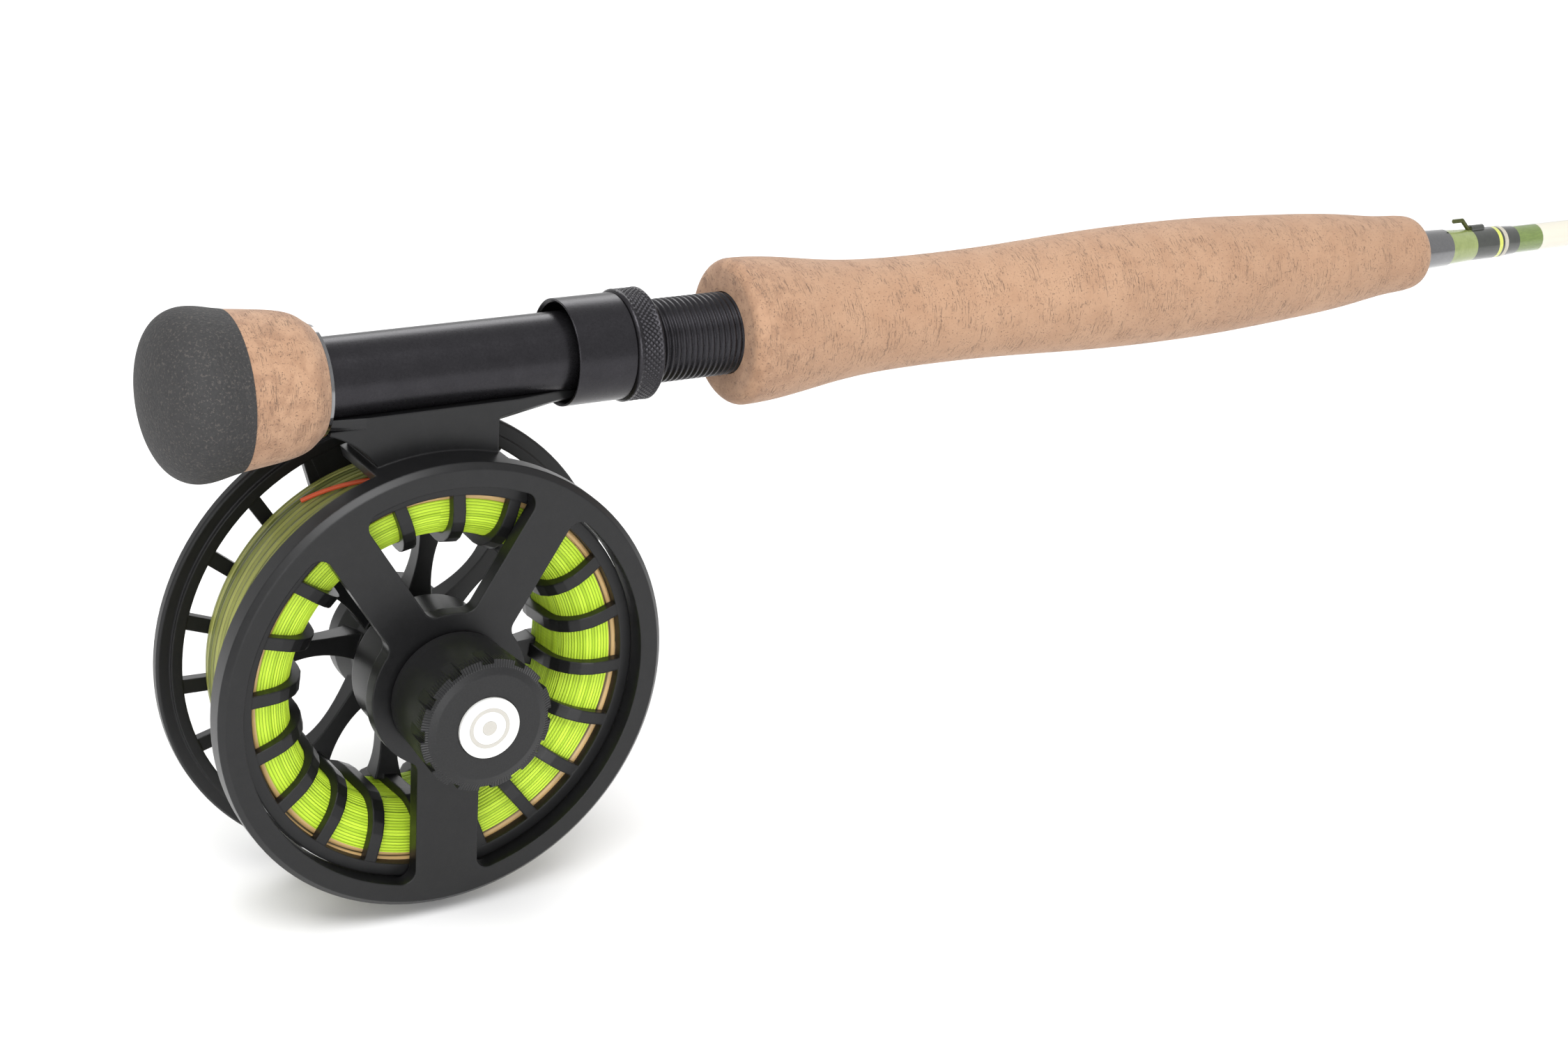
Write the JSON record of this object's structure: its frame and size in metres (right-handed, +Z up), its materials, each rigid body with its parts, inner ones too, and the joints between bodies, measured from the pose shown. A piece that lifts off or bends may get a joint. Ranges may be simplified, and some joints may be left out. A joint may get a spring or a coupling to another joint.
{
  "type": "fly fishing rod and reel",
  "caption": "Fly rod with cork grip, rubber-cork butt, locking reel seat and line guides, carrying a skeleton reel with drag knob, winding handle and wound line.",
  "frame": {"origin": "on the rod axis at the middle of the cork grip, where the hand holds the rod", "axes": "+X along the rod from butt to tip, +Z up away from the reel, +Y along the reel spindle away from the drag knob"},
  "size_m": [2.7447, 0.0732, 0.1244],
  "materials": {
    "rubber_cork": "matte",
    "cork": "matte",
    "gloss_black": "gloss",
    "black_anodised": "satin",
    "bushing": "matte",
    "dark_olive": "satin",
    "olive_wrap": "gloss",
    "dark_wrap": "gloss",
    "yellow_wrap": "gloss",
    "silver_wrap": "gloss",
    "olive_blank": "gloss",
    "guide_steel": "polished",
    "ceramic": "polished",
    "black_reel": "satin",
    "steel": "machined",
    "seal_rubber": "matte",
    "carbon": "matte",
    "brass": "machined",
    "medallion": "satin",
    "backing": "woven",
    "fly_line": "satin",
    "orange_line": "satin",
    "handle_black": "matte"
  },
  "bodies": {
    "rod_butt": {"butt_pad": "rubber_cork", "butt_cork": "cork", "fixed_hood": "gloss_black", "reel_seat_tube": "black_anodised", "seat_bushings": "bushing", "cork_grip": "cork", "winding_check": "gloss_black", "hook_keeper": "dark_olive", "handle_wrap_olive": "olive_wrap", "handle_wrap_dark": "dark_wrap", "accent_wrap_yellow": "yellow_wrap", "accent_wrap_silver": "silver_wrap", "blank_butt": "olive_blank", "stripping_guide_1": "guide_steel", "stripping_ring_1": "ceramic", "guide_wraps_butt": "olive_wrap", "reel_frame": "black_reel", "spindle": "steel", "spindle_nut": "steel", "drag_cover": "steel", "drag_seal": "seal_rubber", "cover_ring": "steel", "spring_washer": "steel", "carbon_discs": "carbon"},
    "hood": {"sliding_hood": "black_anodised"},
    "nut": {"locking_nut": "black_anodised"},
    "drag_press": {"pressure_plate": "steel", "push_pins": "steel"},
    "knob": {"drag_knob": "black_reel", "knob_bush": "brass", "knob_medallion": "medallion"},
    "rotor": {"drag_rotor": "steel"},
    "spool_body": {"spool": "black_reel", "counterweight": "steel", "one_way_clutch": "steel", "spool_bearing": "brass", "hub_cap": "black_reel", "button_spring": "steel", "handle_post": "steel", "backing": "backing", "fly_line": "fly_line", "line_tag": "orange_line"},
    "button": {"release_button": "black_reel"},
    "handle": {"handle_grip": "handle_black"},
    "section_2": {"blank_lower_mid": "olive_blank", "ferrule_wrap_lower_mid": "olive_wrap", "stripping_guide_2": "guide_steel", "stripping_ring_2": "ceramic", "snake_guides_lower_mid": "guide_steel", "guide_wraps_lower_mid": "olive_wrap"},
    "section_3": {"blank_upper_mid": "olive_blank", "ferrule_wrap_upper_mid": "olive_wrap", "snake_guides_upper_mid": "guide_steel", "guide_wraps_upper_mid": "olive_wrap"},
    "section_4": {"blank_tip": "olive_blank", "ferrule_wrap_tip": "olive_wrap", "snake_guides_tip": "guide_steel", "guide_wraps_tip": "olive_wrap", "tip_top": "guide_steel", "tip_top_ring": "ceramic"}
  },
  "joints": [
    {"name": "hood_slide", "type": "slide", "parent": "rod_butt", "child": "hood", "axis": [1, 0, 0], "range_m": [0, 0.01201]},
    {"name": "nut_turn", "type": "hinge", "parent": "hood", "child": "nut", "pos_m": [-0.11345, 0, 0], "axis": [1, 0, 0], "range_deg": [0, 3456]},
    {"name": "press_slide", "type": "slide", "parent": "rod_butt", "child": "drag_press", "axis": [0, 1, 0], "range_m": [0, 0.0006]},
    {"name": "knob_turn", "type": "hinge", "parent": "drag_press", "child": "knob", "pos_m": [-0.15675, 0, -0.0602], "axis": [0, 1, 0], "range_deg": [0, 270.1]},
    {"name": "spool_spin", "type": "hinge", "parent": "rod_butt", "child": "spool_body", "pos_m": [-0.15675, 0, -0.0602], "axis": [0, 1, 0], "continuous": true},
    {"name": "rotor_spin", "type": "hinge", "parent": "rod_butt", "child": "rotor", "pos_m": [-0.15675, 0, -0.0602], "axis": [0, 1, 0], "continuous": true},
    {"name": "button_press", "type": "slide", "parent": "spool_body", "child": "button", "axis": [0, -1, 0], "range_m": [0, 0.001], "stiffness_N_per_m": 400, "springref_m": -0.0005},
    {"name": "handle_spin", "type": "hinge", "parent": "spool_body", "child": "handle", "pos_m": [-0.16006, 0, -0.02234], "axis": [0, 1, 0], "continuous": true},
    {"name": "ferrule_1_pull", "type": "slide", "parent": "rod_butt", "child": "section_2", "axis": [1, 0, 0], "range_m": [0, 0.06]},
    {"name": "ferrule_2_pull", "type": "slide", "parent": "section_2", "child": "section_3", "axis": [1, 0, 0], "range_m": [0, 0.06]},
    {"name": "ferrule_3_pull", "type": "slide", "parent": "section_3", "child": "section_4", "axis": [1, 0, 0], "range_m": [0, 0.06]}
  ],
  "couplings": [
    {"joint": "hood_slide", "follows": "nut_turn", "m_per_rad": 0.00019894},
    {"joint": "knob_turn", "follows": "press_slide", "rad_per_m": 7854},
    {"joint": "rotor_spin", "follows": "spool_spin", "ratio": 1}
  ]
}
